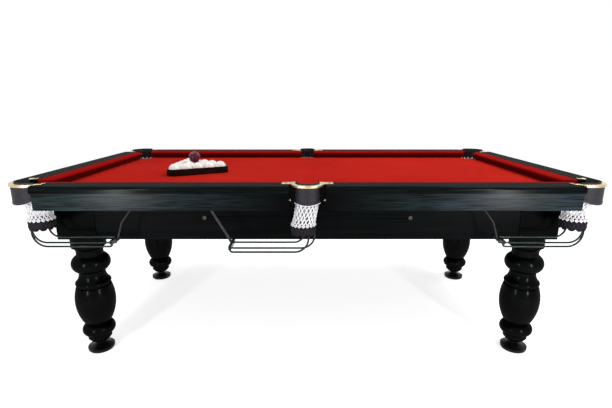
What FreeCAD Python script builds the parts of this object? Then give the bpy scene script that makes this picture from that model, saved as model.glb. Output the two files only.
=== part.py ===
import FreeCAD, Part
import math
import os
from types import SimpleNamespace

import Sketcher
from FreeCAD import Placement, Rotation, Vector

# A six-pocket billiards table with turned legs, a slate bed, netted pockets and ball return rails.
# +X runs along the table, +Y across it and +Z up; the origin is on the floor under the middle.

# Driving dimensions in millimetres, written once each and grouped by the piece that carries them.
SIZES = {
    # Playing field, between the noses of the cushions
    "field_length": 2240, "field_width": 1120, "bed_top": 830,
    "cloth_thickness": 1, "slate_thickness": 38, "middle_slate_length": 914, "slate_margin": 98,
    # Cushions, measured outwards from the nose line and up from the bed
    "cushion_depth": 48, "cushion_undercut": 13, "nose_height": 34, "nose_round": 4,
    "corner_jaw_setback": 3, "side_jaw_overhang": 31, "corner_jaw_cut": 33, "side_jaw_cut": 4,
    # Wooden rails and the skirt boards under them
    "rail_width": 94, "rail_height": 44, "cap_thickness": 28, "rail_round": 13,
    "corner_setback": 15, "side_gap": 150,
    "skirt_thickness": 18, "skirt_setback": 12, "skirt_bottom": 773,
    # Underframe
    "frame_bottom": 598, "apron_thickness": 30, "apron_setback": 3,
    "beam_width": 80, "beam_height": 120,
    "bolt_radius": 5, "bolt_length": 110, "bolt_head_radius": 9, "bolt_head_height": 6,
    "bolt_drop": 91, "bolt_clearance": 0.3,
    # Legs and levelling feet
    "leg_inset_x": 84, "leg_inset_y": 120, "block_size": 176, "leg_radius": 90, "leg_bottom": 52,
    "foot_radius": 61, "foot_height": 34, "stem_radius": 20, "stem_depth": 60, "stem_clearance": 0.3,
    # Pocket irons, leathers and nets
    "corner_offset_x": 22, "corner_offset_y": 35, "corner_ring_inner": 74, "corner_ring_outer": 92,
    "side_offset_y": 72, "side_ring_inner": 50, "side_ring_outer": 70,
    "iron_plate": 3, "iron_rim": 8, "tongue_length": 30, "tongue_width": 36, "tongue_inset": 6,
    "corner_leather_radius": 88, "side_leather_radius": 60, "leather_thickness": 4, "leather_drop": 75,
    "pocket_clearance": 0.3, "slate_clearance": 3,
    "net_wall": 4, "net_top_drop": 10, "net_slack": 3.6,
    # Net cups and the ball return rails that leave them
    "cup_radius": 50, "cup_wall": 6, "cup_height": 44,
    "corner_cup_bottom": 679, "corner_cup_in": 24, "corner_cup_out": 30,
    "side_cup_bottom": 657, "side_cup_along": 17,
    "rod_radius": 4, "front_rod_drop": 65, "middle_rod_drop": 62, "back_rod_drop": 52, "rail_run": 305,
    "bar_thickness": 12, "bar_height": 16, "bar_lip": 2, "bar_margin": 8,
    "strap_width": 12, "strap_thickness": 4, "strap_lean": 95,
    # Balls and their rack
    "ball_diameter": 60, "ball_gap": 0.4, "bed_gap": 0.3,
    "rack_wall": 10, "rack_height": 34, "rack_clearance": 0.6, "rack_from_end": 505, "rack_y": -50,
}
RACK_TURN = 27
BALL_ROWS = 5

# Half of a right angle on an arc lies this share of the radius along each axis.
ARC_MIDDLE_SHARE = math.sqrt(0.5)
# A row of touching balls lies this share of the pitch behind the next.
ROW_SHARE = math.sqrt(0.75)

doc = FreeCAD.newDocument("billiards_table")
sheet = doc.addObject("Spreadsheet::Sheet", "sizes")
pieces = []


class Size:
    """A length with its value and the sheet formula that gives it."""

    def __init__(self, number, text):
        self.number = number
        self.text = text

    def __add__(self, other):
        other = as_size(other)
        return Size(self.number + other.number, f"({self.text} + {other.text})")

    def __sub__(self, other):
        other = as_size(other)
        return Size(self.number - other.number, f"({self.text} - {other.text})")

    def __mul__(self, factor):
        return Size(self.number * factor, f"({self.text} * {factor:.9f})")

    def __truediv__(self, factor):
        return Size(self.number / factor, f"({self.text} / {factor})")

    def __neg__(self):
        return Size(-self.number, f"(-1 * {self.text})")

    __rmul__ = __mul__


def as_size(value):
    return value if isinstance(value, Size) else Size(value, str(value))


def fill_sheet():
    """Write every driving dimension into its own aliased cell."""
    named = {}
    for row, (alias, number) in enumerate(SIZES.items(), start=1):
        sheet.set(f"A{row}", alias)
        sheet.set(f"B{row}", str(number))
        sheet.setAlias(f"B{row}", alias)
        named[alias] = Size(number, f"sizes.{alias}")
    doc.recompute()
    return SimpleNamespace(**named)


def bind(thing, **formulas):
    for name, size in formulas.items():
        thing.setExpression(name, as_size(size).text)
    return thing


def place(thing, x=0, y=0, z=0, turn=0, axis=Vector(0, 0, 1)):
    thing.Placement = Placement(Vector(), Rotation(axis, turn))
    for letter, size in zip("xyz", (x, y, z)):
        thing.setExpression(f"Placement.Base.{letter}", as_size(size).text)
    return thing


def piece(thing, label):
    """Keep an object as a finished sub-part under its own label."""
    thing.Label = label
    pieces.append(thing)
    return thing


def box(name, low, high):
    """A box between two corners, each given as three sizes."""
    low = [as_size(size) for size in low]
    high = [as_size(size) for size in high]
    block = doc.addObject("Part::Box", name)
    bind(block, Length=high[0] - low[0], Width=high[1] - low[1], Height=high[2] - low[2])
    return place(block, *low)


def span(name, first, second, z_range):
    """A box between two plan corners in any order."""
    xs = sorted((as_size(first[0]), as_size(second[0])), key=lambda edge: edge.number)
    ys = sorted((as_size(first[1]), as_size(second[1])), key=lambda edge: edge.number)
    return box(name, (xs[0], ys[0], z_range[0]), (xs[1], ys[1], z_range[1]))


def cylinder(name, radius, low, height):
    rod = bind(doc.addObject("Part::Cylinder", name), Radius=radius, Height=height)
    return place(rod, *low)


def rod_along(name, direction, radius, start, length):
    """A round rod from a start point along X or Y, towards + or - as the direction says."""
    turned_about = {"+x": (Vector(0, 1, 0), 90), "-x": (Vector(0, 1, 0), -90),
                    "+y": (Vector(1, 0, 0), -90), "-y": (Vector(1, 0, 0), 90)}
    axis, turn = turned_about[direction]
    rod = bind(doc.addObject("Part::Cylinder", name), Radius=radius, Height=length)
    return place(rod, *start, turn=turn, axis=axis)


def fuse(name, things):
    joined = doc.addObject("Part::MultiFuse", name)
    joined.Shapes = things
    joined.Refine = True
    return joined


def cut(name, base, tools):
    tool = tools[0] if len(tools) == 1 else fuse(f"{name}_tools", tools)
    left = doc.addObject("Part::Cut", name)
    left.Base = base
    left.Tool = tool
    left.Refine = True
    return left


def common(name, first, second):
    shared = doc.addObject("Part::Common", name)
    shared.Base = first
    shared.Tool = second
    return shared


def group(name, things):
    gathered = doc.addObject("Part::Compound", name)
    gathered.Links = things
    return gathered


def tube(name, outer, inner, low, height):
    """A round tube that stands on its low end."""
    return cut(name, cylinder(f"{name}_outside", outer, low, height),
               [cylinder(f"{name}_bore", inner, low, height)])


class Via:
    """A point that the arc between its two neighbours passes through."""

    def __init__(self, x, y):
        self.x = as_size(x)
        self.y = as_size(y)


def pin_point(sketch, geometry, position, x, y):
    """Hold one point of a sketch at formulas of the sheet."""
    for kind, size, line in (("DistanceX", x, -2), ("DistanceY", y, -1)):
        if size.number == 0:
            sketch.addConstraint(Sketcher.Constraint("PointOnObject", geometry, position, line))
            continue
        index = sketch.addConstraint(Sketcher.Constraint(kind, -1, 1, geometry, position, size.number))
        sketch.setExpression(f"Constraints[{index}]", size.text)


def arc_through(start, via, end):
    """The arc from one point through another to a third, and whether it runs anticlockwise."""
    circle = Part.Circle(start, Vector(via.x.number, via.y.number, 0), end)
    centre = circle.Center
    first, passed, last = (math.atan2(y - centre.y, x - centre.x) for x, y in
                           ((start.x, start.y), (via.x.number, via.y.number), (end.x, end.y)))
    full = 2 * math.pi
    forward = (passed - first) % full < (last - first) % full
    if not forward:
        first, last = last, first
    round_edge = Part.Circle(centre, Vector(0, 0, 1), circle.Radius)
    return Part.ArcOfCircle(round_edge, first, first + (last - first) % full), forward


def draw_outline(sketch, points):
    """Draw one closed outline of straight edges, with an arc wherever a Via lies between two corners."""
    corners = []
    vias = {}
    for point in points:
        if isinstance(point, Via):
            vias[len(corners) - 1] = point
        else:
            corners.append((as_size(point[0]), as_size(point[1])))
    spots = [Vector(x.number, y.number, 0) for x, y in corners]
    ends = []
    for index, spot in enumerate(spots):
        following = spots[(index + 1) % len(spots)]
        if index not in vias:
            edge = sketch.addGeometry(Part.LineSegment(spot, following), False)
            ends.append((edge, 1, 2))
            continue
        arc, forward = arc_through(spot, vias[index], following)
        edge = sketch.addGeometry(arc, False)
        ends.append((edge, 1, 2) if forward else (edge, 2, 1))
    for index, (edge, start, end) in enumerate(ends):
        after, after_start, _ = ends[(index + 1) % len(ends)]
        sketch.addConstraint(Sketcher.Constraint("Coincident", edge, end, after, after_start))
    for (edge, start, end), (x, y) in zip(ends, corners):
        pin_point(sketch, edge, start, x, y)
    for index, via in vias.items():
        mark = sketch.addGeometry(Part.Point(Vector(via.x.number, via.y.number, 0)), True)
        pin_point(sketch, mark, 1, via.x, via.y)
        sketch.addConstraint(Sketcher.Constraint("PointOnObject", mark, 1, ends[index][0]))


def sketch_on(body, name, role, outlines):
    sketch = body.newObject("Sketcher::SketchObject", name)
    plane = [part for part in body.Origin.OriginFeatures if part.Role == role][0]
    sketch.AttachmentSupport = [(plane, "")]
    sketch.MapMode = "FlatFace"
    for points in outlines:
        draw_outline(sketch, points)
    return sketch


def new_body(name):
    return doc.addObject("PartDesign::Body", name)


def pad(body, name, sketch, length):
    feature = body.newObject("PartDesign::Pad", name)
    feature.Profile = sketch
    return bind(feature, Length=length)


def revolve(body, name, sketch):
    feature = body.newObject("PartDesign::Revolution", name)
    feature.Profile = sketch
    feature.ReferenceAxis = (sketch, ["V_Axis"])
    feature.Angle = 360
    return feature


size = fill_sheet()

# Lines that several pieces share, as formulas of the driving dimensions.
half_length = size.field_length / 2
half_width = size.field_width / 2
rail_top = size.bed_top + size.rail_height
cap_bottom = rail_top - size.cap_thickness
slate_top = size.bed_top - size.cloth_thickness
frame_top = slate_top - size.slate_thickness
slate_half_length = half_length + size.slate_margin
slate_half_width = half_width + size.slate_margin
leg_x = half_length - size.leg_inset_x
leg_y = half_width - size.leg_inset_y
half_block = size.block_size / 2
beam_x = size.middle_slate_length / 2
apron_face_x = leg_x + half_block - size.apron_setback
apron_face_y = leg_y + half_block - size.apron_setback
rail_end_x = half_length - size.corner_setback
rail_end_y = half_width - size.corner_setback
half_gap = size.side_gap / 2
corner_x = half_length + size.corner_offset_x
corner_y = half_width + size.corner_offset_y
side_y = half_width + size.side_offset_y
corner_hole = size.corner_leather_radius + size.slate_clearance
side_hole = size.side_leather_radius + size.slate_clearance
rim_bottom = rail_top - size.iron_rim
leather_bottom = rim_bottom - size.leather_drop
net_top = size.bed_top - size.net_top_drop
rack_x = size.rack_from_end - half_length

SIDES = {"front": -1, "rear": 1}
ENDS = {"left": -1, "right": 1}


# The turned leg as shares of its largest radius and of its turned height: corners, and the points
# that the rounds of the lower ring, the vase and the upper ring pass through.
LEG_SHARES = [
    ("corner", 0.47, 0.0), ("corner", 0.60, 0.026), ("corner", 0.60, 0.062),
    ("via", 0.83, 0.114), ("corner", 0.60, 0.166),
    ("via", 1.0, 0.41), ("corner", 0.87, 0.528),
    ("corner", 0.79, 0.535), ("corner", 0.79, 0.546), ("corner", 0.86, 0.553),
    ("via", 0.88, 0.565), ("corner", 0.84, 0.578),
    ("via", 0.70, 0.612), ("corner", 0.655, 0.668),
    ("via", 0.955, 0.742), ("corner", 0.655, 0.816),
    ("corner", 0.655, 0.842), ("via", 0.70, 0.876), ("corner", 0.83, 0.898),
    ("corner", 0.85, 0.898), ("corner", 0.85, 1.0),
]


def leg(name, x, y):
    """One turned leg with its square block, bored from below for the levelling foot."""
    body = new_body(name)
    turned_height = size.frame_bottom - size.leg_bottom
    bore = size.stem_radius + size.stem_clearance
    bore_top = size.leg_bottom + size.stem_depth
    points = [(0, size.frame_bottom), (0, bore_top), (bore, bore_top), (bore, size.leg_bottom)]
    for kind, radius_share, height_share in LEG_SHARES:
        spot = (size.leg_radius * radius_share, size.leg_bottom + turned_height * height_share)
        points.append(Via(*spot) if kind == "via" else spot)
    revolve(body, f"{name}_turning", sketch_on(body, f"{name}_profile", "XZ_Plane", [points]))
    square = sketch_on(body, f"{name}_square", "XY_Plane",
                       [[(-half_block, -half_block), (half_block, -half_block),
                         (half_block, half_block), (-half_block, half_block)]])
    square.setExpression("AttachmentOffset.Base.z", size.frame_bottom.text)
    pad(body, f"{name}_block", square, frame_top - size.frame_bottom)
    return piece(place(body, x, y), name)


# The foot as shares of its radius and height: a flat sole, a rounded rim and a domed top.
FOOT_RIM_SHARE = 0.94
FOOT_EDGE_SHARE = 0.2
FOOT_SHOULDER_SHARE = 0.52
FOOT_DOME_SHARES = (0.72, 0.66)


def foot(name, x, y):
    """One levelling foot: a domed disc on the stem that screws up into the leg."""
    body = new_body(name)
    stem_top = size.leg_bottom + size.stem_depth - size.stem_clearance
    dome_radius, dome_height = FOOT_DOME_SHARES
    points = [(0, 0), (size.foot_radius * FOOT_RIM_SHARE, 0),
              (size.foot_radius, size.foot_height * FOOT_EDGE_SHARE),
              (size.foot_radius, size.foot_height * FOOT_SHOULDER_SHARE),
              Via(size.foot_radius * dome_radius, size.foot_height * dome_height),
              (size.stem_radius, size.foot_height), (size.stem_radius, stem_top), (0, stem_top)]
    revolve(body, f"{name}_turning", sketch_on(body, f"{name}_profile", "XZ_Plane", [points]))
    return piece(place(body, x, y), name)


def bolt_bore(name, side, sign):
    """The bore that a beam bolt passes through, from the face of an apron inwards."""
    return rod_along(name, "-y" if side > 0 else "+y", size.bolt_radius + size.bolt_clearance,
                     (beam_x * sign, apron_face_y * side, frame_top - size.bolt_drop), size.bolt_length)


def aprons():
    """Four boards between the leg blocks, the long ones bored for the beam bolts."""
    inner_x = leg_x - half_block
    inner_y = leg_y - half_block
    for word, side in SIDES.items():
        faces = sorted((apron_face_y * side, (apron_face_y - size.apron_thickness) * side),
                       key=lambda face: face.number)
        board = box(f"{word}_board", (-inner_x, faces[0], size.frame_bottom), (inner_x, faces[1], frame_top))
        bores = [bolt_bore(f"{word}_bore_{end}", side, sign) for end, sign in ENDS.items()]
        piece(cut(f"{word}_apron_cut", board, bores), f"{word}_apron")
    for word, side in ENDS.items():
        faces = sorted((apron_face_x * side, (apron_face_x - size.apron_thickness) * side),
                       key=lambda face: face.number)
        piece(box(f"{word}_board", (faces[0], -inner_y, size.frame_bottom), (faces[1], inner_y, frame_top)),
              f"{word}_apron")


def cross_beams():
    """Two beams under the joints of the slates, and the bolts that hold them between the aprons."""
    reach = apron_face_y - size.apron_thickness
    bolts = []
    for word, sign in ENDS.items():
        low = (beam_x * sign - size.beam_width / 2, -reach, frame_top - size.beam_height)
        high = (beam_x * sign + size.beam_width / 2, reach, frame_top)
        bores = [bolt_bore(f"beam_bore_{word}_{name}", side, sign) for name, side in SIDES.items()]
        piece(cut(f"{word}_beam_cut", box(f"{word}_beam", low, high), bores), f"cross_beam_{word}")
        for name, side in SIDES.items():
            start = (beam_x * sign, apron_face_y * side, frame_top - size.bolt_drop)
            inwards, outwards = ("-y", "+y") if side > 0 else ("+y", "-y")
            shank = rod_along(f"shank_{word}_{name}", inwards, size.bolt_radius, start,
                              size.bolt_length - size.bolt_clearance)
            head = rod_along(f"head_{word}_{name}", outwards, size.bolt_head_radius, start,
                             size.bolt_head_height)
            bolts.append(fuse(f"bolt_{word}_{name}", [shank, head]))
    piece(group("bolts", bolts), "beam_bolts")


def pocket_holes(prefix, low, height, corner_signs, with_sides):
    """Holes through the bed at the pockets that a slab meets, open to its edge at the corners."""
    holes = []
    for side in SIDES.values():
        for sign in corner_signs:
            spot = (corner_x * sign, corner_y * side, low)
            holes.append(cylinder(f"{prefix}_corner_hole", corner_hole, spot, height))
            holes.append(span(f"{prefix}_corner_notch", spot, (slate_half_length * sign, slate_half_width * side),
                              (low, low + height)))
        if with_sides:
            holes.append(cylinder(f"{prefix}_side_hole", side_hole, (0, side_y * side, low), height))
    return holes


def bed():
    """Three slates laid end to end, and the cloth stretched over them."""
    spans = {"left": (-slate_half_length, -beam_x), "middle": (-beam_x, beam_x),
             "right": (beam_x, slate_half_length)}
    for word, (start, end) in spans.items():
        slab = box(f"{word}_slab", (start, -slate_half_width, frame_top), (end, slate_half_width, slate_top))
        signs = [ENDS[word]] if word in ENDS else []
        holes = pocket_holes(word, frame_top, size.slate_thickness, signs, word == "middle")
        piece(cut(f"{word}_slate_cut", slab, holes), f"slate_{word}")
    cloth = box("cloth_sheet", (-slate_half_length, -slate_half_width, slate_top),
                (slate_half_length, slate_half_width, size.bed_top))
    holes = pocket_holes("cloth", slate_top, size.cloth_thickness, ENDS.values(), True)
    piece(cut("cloth_cut", cloth, holes), "bed_cloth")


def rail(name, length, x, y, turn):
    """One wooden rail: a cap with a rounded outer edge on a base that sits on the slate."""
    body = new_body(name)
    outer = size.cushion_depth + size.rail_width
    middle = size.rail_round * ARC_MIDDLE_SHARE
    points = [(size.cushion_depth, size.bed_top), (size.slate_margin, size.bed_top),
              (size.slate_margin, cap_bottom), (outer, cap_bottom),
              (outer, rail_top - size.rail_round),
              Via(outer - size.rail_round + middle, rail_top - size.rail_round + middle),
              (outer - size.rail_round, rail_top), (size.cushion_depth, rail_top)]
    pad(body, f"{name}_run", sketch_on(body, f"{name}_profile", "YZ_Plane", [points]), length)
    return piece(place(body, x, y, turn=turn), name)


def skirt(name, length, x, y, turn):
    """The board that hangs under a rail and hides the edge of the slate."""
    body = new_body(name)
    outer = size.cushion_depth + size.rail_width - size.skirt_setback
    inner = outer - size.skirt_thickness
    points = [(inner, size.skirt_bottom), (outer, size.skirt_bottom), (outer, cap_bottom), (inner, cap_bottom)]
    pad(body, f"{name}_run", sketch_on(body, f"{name}_profile", "YZ_Plane", [points]), length)
    return piece(place(body, x, y, turn=turn), name)


def cushion(name, length, setbacks, cuts, x, y, turn):
    """One cushion from jaw to jaw; its ends slant back towards the nose at the pockets."""
    body = new_body(name)
    nose = size.bed_top + size.nose_height
    points = [(size.cushion_undercut, size.bed_top), (size.cushion_depth, size.bed_top),
              (size.cushion_depth, rail_top), (size.nose_round, nose + size.nose_round), (0, nose)]
    sketch = sketch_on(body, f"{name}_profile", "YZ_Plane", [points])
    sketch.setExpression("AttachmentOffset.Base.z", setbacks[0].text)
    end = length - setbacks[1]
    pad(body, f"{name}_run", sketch, end - setbacks[0])
    corners = [[(setbacks[0], 0), (setbacks[0] + cuts[0], 0), (setbacks[0], size.cushion_depth)],
               [(end, 0), (end, size.cushion_depth), (end - cuts[1], 0)]]
    slant = body.newObject("PartDesign::Pocket", f"{name}_jaws")
    slant.Profile = sketch_on(body, f"{name}_jaw_plan", "XY_Plane", corners)
    slant.Type = "ThroughAll"
    slant.Reversed = True
    return piece(place(body, x, y, turn=turn), name)


def rails():
    """Six rails round the field, each with its cushion and its skirt."""
    corner = (size.corner_jaw_setback, size.corner_jaw_cut)
    side = (-size.side_jaw_overhang, size.side_jaw_cut)
    long_run = rail_end_x - half_gap
    cross_run = rail_end_y * 2
    layout = {
        "front_left": (long_run, side, corner, -half_gap, -half_width, 180),
        "front_right": (long_run, corner, side, rail_end_x, -half_width, 180),
        "rear_left": (long_run, corner, side, -rail_end_x, half_width, 0),
        "rear_right": (long_run, side, corner, half_gap, half_width, 0),
        "left": (cross_run, corner, corner, -half_length, -rail_end_y, 90),
        "right": (cross_run, corner, corner, half_length, rail_end_y, 270),
    }
    for word, (length, first, last, x, y, turn) in layout.items():
        rail(f"rail_{word}", length, x, y, turn)
        skirt(f"skirt_{word}", length, x, y, turn)
        cushion(f"cushion_{word}", length, (first[0], last[0]), (first[1], last[1]), x, y, turn)


def corner_space(name, sign, side, z_range):
    """The open corner between the ends of two rails, out to the edge of the rails."""
    near = (rail_end_x + size.pocket_clearance, rail_end_y + size.pocket_clearance)
    far = (half_length + size.cushion_depth + size.rail_width,
           half_width + size.cushion_depth + size.rail_width)
    return span(name, (near[0] * sign, near[1] * side), (far[0] * sign, far[1] * side), z_range)


def corner_iron(name, sign, side):
    """The iron round a corner pocket: a rim between the rails, and two arms with tongues on top of them."""
    top = rail_top + size.iron_plate
    spot = (corner_x * sign, corner_y * side)
    disc = cylinder(f"{name}_disc", size.corner_ring_outer, (*spot, rim_bottom), top - rim_bottom)
    rim = common(f"{name}_rim", disc, corner_space(f"{name}_space", sign, side, (rim_bottom, top)))
    wood_x = half_length + size.cushion_depth + size.tongue_inset
    wood_y = half_width + size.cushion_depth + size.tongue_inset
    start_x = rail_end_x - size.tongue_length
    start_y = rail_end_y - size.tongue_length
    reach = (corner_x + size.corner_ring_outer, corner_y + size.corner_ring_outer)
    parts = [rim]
    for word, near, tongue_end in (("x", (start_x, wood_y), (corner_x, wood_y + size.tongue_width)),
                                   ("y", (wood_x, start_y), (wood_x + size.tongue_width, corner_y))):
        parts.append(span(f"{name}_tongue_{word}", (near[0] * sign, near[1] * side),
                          (tongue_end[0] * sign, tongue_end[1] * side), (rail_top, top)))
        plate = cylinder(f"{name}_plate_{word}", size.corner_ring_outer, (*spot, rail_top), size.iron_plate)
        over_rail = span(f"{name}_over_rail_{word}", (near[0] * sign, near[1] * side),
                         (reach[0] * sign, reach[1] * side), (rail_top, top))
        parts.append(common(f"{name}_arm_{word}", plate, over_rail))
    hole = cylinder(f"{name}_hole", size.corner_ring_inner, (*spot, rim_bottom), top - rim_bottom)
    return cut(name, fuse(f"{name}_whole", parts), [hole])


def side_space(name, side, z_range):
    """The gap between two long rails, from behind the cushions outwards."""
    reach = half_gap - size.pocket_clearance
    inner = half_width + size.cushion_depth + size.pocket_clearance
    return span(name, (-reach, inner * side), (reach, (inner + size.rail_width) * side), z_range)


def side_iron(name, side):
    """The iron round a middle pocket, with a tongue on the rail at each side."""
    top = rail_top + size.iron_plate
    spot = (0, side_y * side)
    disc = cylinder(f"{name}_disc", size.side_ring_outer, (*spot, rim_bottom), top - rim_bottom)
    rim = common(f"{name}_rim", disc, side_space(f"{name}_space", side, (rim_bottom, top)))
    reach = half_gap + size.tongue_length
    wood = half_width + size.cushion_depth + size.tongue_inset
    tongue = span(f"{name}_tongue", (-reach, wood * side), (reach, (wood + size.tongue_width) * side),
                  (rail_top, top))
    hole = cylinder(f"{name}_hole", size.side_ring_inner, (*spot, rim_bottom), top - rim_bottom)
    return cut(name, fuse(f"{name}_whole", [rim, tongue]), [hole])


def leather(name, spot, radius, space):
    """A bent leather flap under the rim of a pocket iron."""
    shell = tube(f"{name}_shell", radius, radius - size.leather_thickness, (*spot, leather_bottom),
                 size.leather_drop)
    return common(name, shell, space)


def pocket_trim():
    """The irons and leathers of all six pockets, alike ones together."""
    corner_irons = []
    corner_leathers = []
    side_irons = []
    side_leathers = []
    z_range = (leather_bottom, rim_bottom)
    for side_word, side in SIDES.items():
        for end_word, sign in ENDS.items():
            name = f"{side_word}_{end_word}"
            corner_irons.append(corner_iron(f"iron_{name}", sign, side))
            corner_leathers.append(leather(f"leather_{name}", (corner_x * sign, corner_y * side),
                                           size.corner_leather_radius,
                                           corner_space(f"leather_{name}_space", sign, side, z_range)))
        side_irons.append(side_iron(f"iron_{side_word}_side", side))
        side_leathers.append(leather(f"leather_{side_word}_side", (0, side_y * side),
                                     size.side_leather_radius,
                                     side_space(f"leather_{side_word}_space", side, z_range)))
    piece(group("corner_iron_set", corner_irons), "corner_irons")
    piece(group("corner_leather_set", corner_leathers), "corner_leathers")
    piece(group("side_iron_set", side_irons), "side_irons")
    piece(group("side_leather_set", side_leathers), "side_leathers")


def funnel(name, top_radius, top, bottom_radius, bottom):
    """A slanting round solid between a ring above and a ring below."""
    rings = []
    for word, radius, spot in (("low", bottom_radius, bottom), ("high", top_radius, top)):
        ring = bind(doc.addObject("Part::Circle", f"{name}_{word}"), Radius=radius)
        rings.append(place(ring, *spot))
    body = doc.addObject("Part::Loft", name)
    body.Sections = rings
    body.Solid = True
    return body


def net(name, radius, top, bottom):
    """One pocket net as a slanting tube of netting, from inside the leather down to its cup."""
    outside = radius - size.leather_thickness - size.net_slack
    foot_radius = size.cup_radius - size.pocket_clearance
    outer = funnel(f"{name}_outside", outside, top, foot_radius, bottom)
    inner = funnel(f"{name}_inside", outside - size.net_wall, top, foot_radius - size.net_wall, bottom)
    return piece(cut(f"{name}_cut", outer, [inner]), name)


# Where the three rods leave the cup, as shares of its ring: back along the run, and outwards.
ROD_SHARES = {"front": (-0.45, 0.893), "middle": (-1.0, 0.0), "back": (-0.1, -0.995)}
# A rod bends under the cup, and up into the end bar, on most of the height that it has there.
BEND_SHARE = 0.9


def bend(name, radius, spot, quarter):
    """A quarter turn of rod in the XZ plane: down into the run, or from the run up to the bar."""
    arc = doc.addObject("Part::Torus", name)
    bind(arc, Radius1=radius, Radius2=size.rod_radius)
    arc.Angle3 = 90
    place(arc, *spot)
    upright = Rotation(Vector(1, 0, 0), 90)
    turns = {"into_run": 180, "up_to_bar": 270}
    arc.Placement = Placement(Vector(), upright * Rotation(Vector(0, 0, 1), turns[quarter]))
    for letter, coordinate in zip("xyz", spot):
        arc.setExpression(f"Placement.Base.{letter}", as_size(coordinate).text)
    return arc


def return_rod(name, start, drop, cup_bottom, bar):
    """One rod that hangs from the cup, bends into the run and ends at the bar."""
    x, y = start
    level = cup_bottom - drop
    radius = drop * BEND_SHARE
    hang = cylinder(f"{name}_hang", size.rod_radius, (x, y, level + radius), drop - radius)
    turn_in = bend(f"{name}_turn_in", radius, (x + radius, y, level + radius), "into_run")
    bar_face, bar_bottom, bar_middle = bar
    if level.number > bar_bottom.number:
        run = rod_along(f"{name}_run", "+x", size.rod_radius, (x + radius, y, level), bar_face - x - radius)
        return fuse(name, [hang, turn_in, run])
    rise = bar_bottom - level
    end_radius = rise * BEND_SHARE
    run_end = bar_middle - end_radius
    run = rod_along(f"{name}_run", "+x", size.rod_radius, (x + radius, y, level), run_end - x - radius)
    turn_up = bend(f"{name}_turn_up", end_radius, (run_end, y, level + end_radius), "up_to_bar")
    tip = cylinder(f"{name}_tip", size.rod_radius, (bar_middle, y, level + end_radius), rise - end_radius)
    return fuse(name, [hang, turn_in, run, turn_up, tip])


def return_rails(name, cup_bottom, spot, turn, hand):
    """Three rods from a cup to their end bar, along +X of their own frame, with +Y outwards."""
    ring = size.cup_radius - size.cup_wall / 2
    drops = {"front": size.front_rod_drop, "middle": size.middle_rod_drop, "back": size.back_rod_drop}
    bar_bottom = cup_bottom - size.back_rod_drop - size.bar_lip
    bar_face = size.rail_run - size.bar_thickness / 2
    bar = (bar_face, bar_bottom, size.rail_run)
    parts = []
    for word, (along, outwards) in ROD_SHARES.items():
        start = (ring * along, ring * (outwards * hand))
        parts.append(return_rod(f"{name}_{word}", start, drops[word], cup_bottom, bar))
    edges = [ring * (ROD_SHARES[word][1] * hand) for word in ("front", "back")]
    edges = sorted(edges, key=lambda edge: edge.number)
    parts.append(box(f"{name}_bar", (bar_face, edges[0] - size.bar_margin, bar_bottom),
                     (size.rail_run + size.bar_thickness / 2, edges[1] + size.bar_margin,
                      bar_bottom + size.bar_height)))
    rails_set = group(f"{name}_set", parts)
    return piece(place(rails_set, *spot, turn=turn), name)


def strap(name, cup_bottom, spot, turn, across, through):
    """A leather strap that carries the end bar from the underside of the slate."""
    body = new_body(name)
    low = cup_bottom - size.back_rod_drop - size.bar_lip + size.bar_height
    left = size.rail_run - across / 2
    right = size.rail_run + across / 2
    points = [(left, low), (right, low), (right + size.strap_lean, frame_top), (left + size.strap_lean, frame_top)]
    sketch = sketch_on(body, f"{name}_side", "XZ_Plane", [points])
    feature = pad(body, f"{name}_leather", sketch, through)
    feature.SideType = "Symmetric"
    return place(body, *spot, turn=turn)


def ball_returns():
    """Net, cup, return rails and hanging strap of each pocket."""
    corner_cups = []
    side_cups = []
    straps = []
    for side_word, side in SIDES.items():
        for end_word, sign in ENDS.items():
            name = f"{side_word}_{end_word}"
            cup = ((corner_x - size.corner_cup_in) * sign, (corner_y + size.corner_cup_out) * side)
            cup_top = size.corner_cup_bottom + size.cup_height
            net(f"net_{name}", size.corner_leather_radius, (corner_x * sign, corner_y * side, net_top),
                (*cup, cup_top))
            corner_cups.append(tube(f"cup_{name}", size.cup_radius, size.cup_radius - size.cup_wall,
                                    (*cup, size.corner_cup_bottom), size.cup_height))
            turn = 0 if sign < 0 else 180
            return_rails(f"return_rails_{name}", size.corner_cup_bottom, cup, turn, -side * sign)
            straps.append(strap(f"strap_{name}", size.corner_cup_bottom, cup, turn,
                                size.strap_thickness, size.strap_width))
        cup = (size.side_cup_along * side, side_y * side)
        cup_top = size.side_cup_bottom + size.cup_height
        net(f"net_{side_word}_side", size.side_leather_radius, (0, side_y * side, net_top), (*cup, cup_top))
        side_cups.append(tube(f"cup_{side_word}_side", size.cup_radius, size.cup_radius - size.cup_wall,
                              (*cup, size.side_cup_bottom), size.cup_height))
        turn = 0 if side > 0 else 180
        return_rails(f"return_rails_{side_word}_side", size.side_cup_bottom, cup, turn, 1)
        straps.append(strap(f"strap_{side_word}_side", size.side_cup_bottom, cup, turn,
                            size.strap_width, size.strap_thickness))
    piece(group("corner_cup_set", corner_cups), "corner_cups")
    piece(group("side_cup_set", side_cups), "side_cups")
    piece(group("strap_set", straps), "hanger_straps")


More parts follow.
